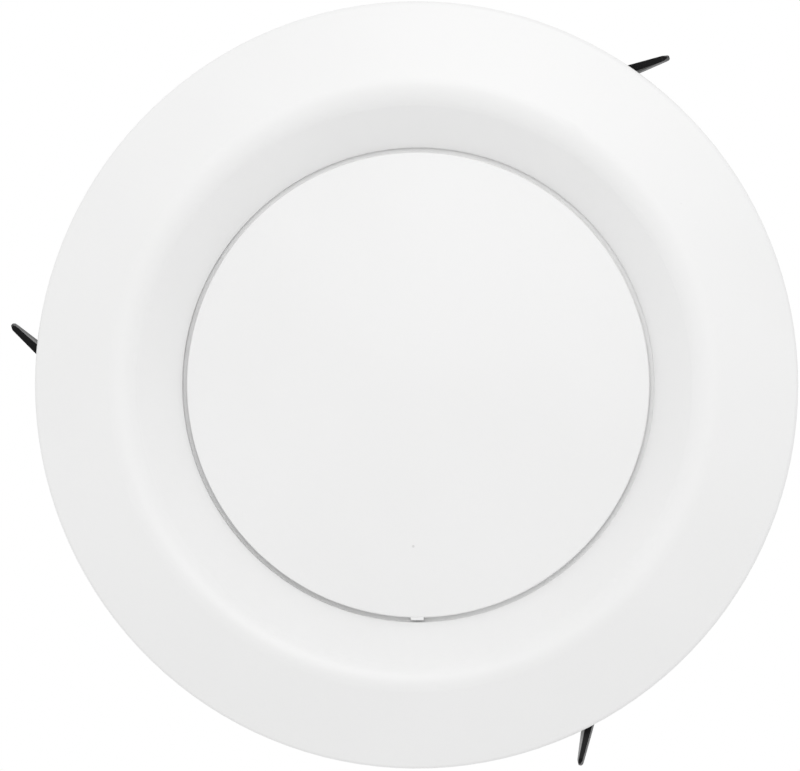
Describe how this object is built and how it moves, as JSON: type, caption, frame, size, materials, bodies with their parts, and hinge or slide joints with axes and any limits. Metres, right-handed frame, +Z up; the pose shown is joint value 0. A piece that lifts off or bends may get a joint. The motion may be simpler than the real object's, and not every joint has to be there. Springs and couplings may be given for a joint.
{
  "type": "ceiling air diffuser",
  "caption": "Round white ceiling air diffuser with an adjustable domed disc on a screw spindle, a duct spigot and spring-loaded clamp arms behind the rim.",
  "frame": {"origin": "centre of the ceiling plane, which is the plane of the rim's back edge, on the duct's axis", "axes": "+Z up into the duct, along its axis; the face looks down, along -Z; the first clamp arm's pivot is 10.4 degrees from +X towards +Y"},
  "size_m": [0.2692, 0.26, 0.087],
  "materials": {
    "white_plastic": "satin moulded",
    "collar_plastic": "satin moulded",
    "black_plastic": "moulded, slightly glossy",
    "foam": "soft closed-cell foam",
    "steel": "zinc plated",
    "spring_steel": "drawn wire",
    "nut_plastic": "moulded"
  },
  "bodies": {
    "housing": {"face_ring": "white_plastic", "rim_gasket": "foam", "duct_collar": "collar_plastic", "collar_screws": "steel", "spider": "collar_plastic", "spider_screws": "steel", "thread_bush": "nut_plastic", "tension_spring": "spring_steel", "bracket_rivets": "steel", "arm_bracket_1": "black_plastic", "arm_pin_1": "steel", "arm_washer_1": "steel", "arm_spring_1": "spring_steel", "arm_bracket_2": "black_plastic", "arm_pin_2": "steel", "arm_washer_2": "steel", "arm_spring_2": "spring_steel", "arm_bracket_3": "black_plastic", "arm_pin_3": "steel", "arm_washer_3": "steel", "arm_spring_3": "spring_steel"},
    "slip_washer": {"spring_cup": "nut_plastic"},
    "disc": {"disc_plate": "white_plastic", "spindle": "collar_plastic", "hub_screws": "steel", "stop_clip": "spring_steel"},
    "arm_1": {"clamp_arm_1": "black_plastic"},
    "arm_2": {"clamp_arm_2": "black_plastic"},
    "arm_3": {"clamp_arm_3": "black_plastic"}
  },
  "joints": [
    {"name": "arm_1_fold", "type": "hinge", "parent": "housing", "child": "arm_1", "pos_m": [0.07692, 0.01412, 0.034], "axis": [0.9836, 0.1805, 0], "range_deg": [0, 104.4], "stiffness_Nm_per_rad": 0.02, "springref_deg": -60.16, "deforming": ["arm_spring_1"]},
    {"name": "arm_2_fold", "type": "hinge", "parent": "housing", "child": "arm_2", "pos_m": [-0.05263, 0.05784, 0.034], "axis": [-0.673, 0.7396, 0], "range_deg": [0, 104.4], "stiffness_Nm_per_rad": 0.02, "springref_deg": -60.16, "deforming": ["arm_spring_2"]},
    {"name": "arm_3_fold", "type": "hinge", "parent": "housing", "child": "arm_3", "pos_m": [-0.02455, -0.07425, 0.034], "axis": [-0.314, -0.9494, 0], "range_deg": [0, 104.4], "stiffness_Nm_per_rad": 0.02, "springref_deg": -60.16, "deforming": ["arm_spring_3"]},
    {"name": "disc_travel", "type": "slide", "parent": "housing", "child": "slip_washer", "axis": [0, 0, -1], "range_m": [-0.0006, 0.024], "deforming": ["tension_spring"]},
    {"name": "disc_turn", "type": "hinge", "parent": "slip_washer", "child": "disc", "pos_m": [0, 0, 0.015], "axis": [0, 0, -1], "range_deg": [-36, 1440]}
  ],
  "couplings": [
    {"joint": "disc_travel", "follows": "disc_turn", "m_per_rad": 0.00095493}
  ]
}
